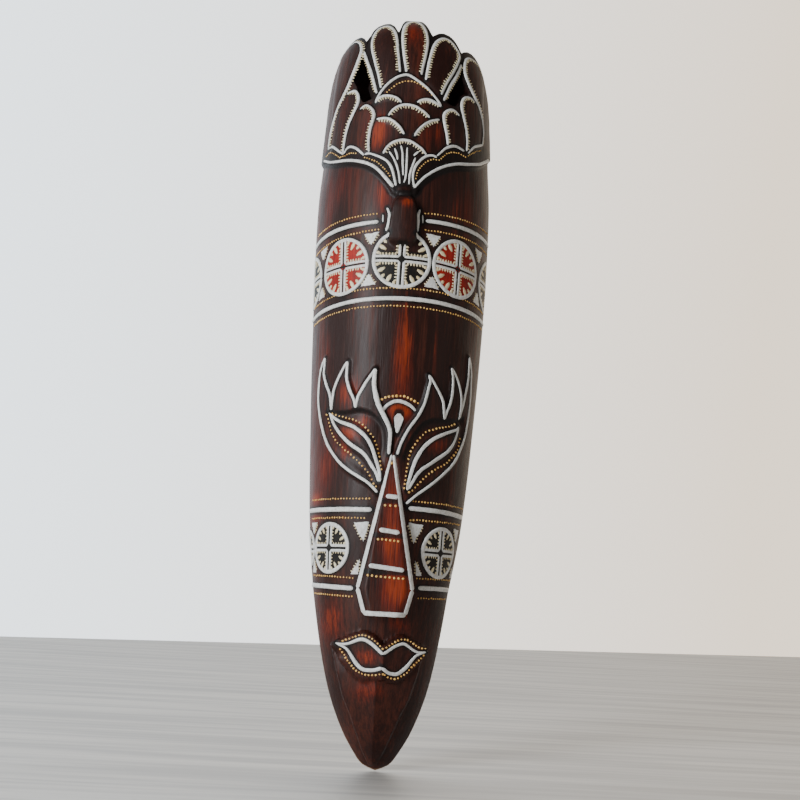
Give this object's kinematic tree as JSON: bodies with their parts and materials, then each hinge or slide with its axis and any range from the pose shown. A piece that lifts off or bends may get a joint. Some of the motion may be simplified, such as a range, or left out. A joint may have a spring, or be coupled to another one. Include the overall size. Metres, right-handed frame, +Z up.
{
  "type": "carved wooden mask",
  "caption": "Long hand-carved wooden wall mask with a petal crest, flame horns, wedge nose and raised dot painting, hollow at the back, hung by a swinging ring.",
  "frame": {"origin": "the point on the wall plane where a nail holds the hanging ring once it is turned up, on the mask's middle line", "axes": "+Z up along the mask towards the crest, +X to the viewer's right as they face the mask, -Y out of the wall towards the viewer; the flat back rim lies in the plane y = 0"},
  "size_m": [0.1195, 0.055, 0.5],
  "materials": {
    "carved_wood": "dark red-brown stain with a satin to glossy lacquer over a vertical grain",
    "silver_paint": "thick silver-white paint, raised and slightly pearly",
    "dot_paint": "thick cream-yellow paint in raised dots",
    "hanger_metal": "brass-plated steel, satin, lightly tarnished",
    "screw_metal": "zinc-plated"
  },
  "bodies": {
    "mask": {"mask_body": "carved_wood", "crest_petal_trails": "silver_paint", "crest_leaf_trails": "silver_paint", "crest_shell_trails": "silver_paint", "crest_fan_trails": "silver_paint", "crest_scroll_trails": "silver_paint", "knob_trails": "silver_paint", "upper_band_stripes": "silver_paint", "upper_band_medallions": "silver_paint", "horn_trails": "silver_paint", "eye_trails": "silver_paint", "brow_drop_trails": "silver_paint", "nose_outline_trail": "silver_paint", "nose_bar_trails": "silver_paint", "nose_dots": "dot_paint", "lip_trail": "silver_paint", "lower_band_stripes": "silver_paint", "lower_band_medallions": "silver_paint", "hanger_strap": "hanger_metal", "hanger_screw": "screw_metal"},
    "ring": {"hanging_ring": "hanger_metal"}
  },
  "joints": [
    {"name": "ring_swing", "type": "hinge", "parent": "mask", "child": "ring", "pos_m": [0, -0.00399, -0.0155], "axis": [1, 0, 0], "range_deg": [0, 175]}
  ]
}
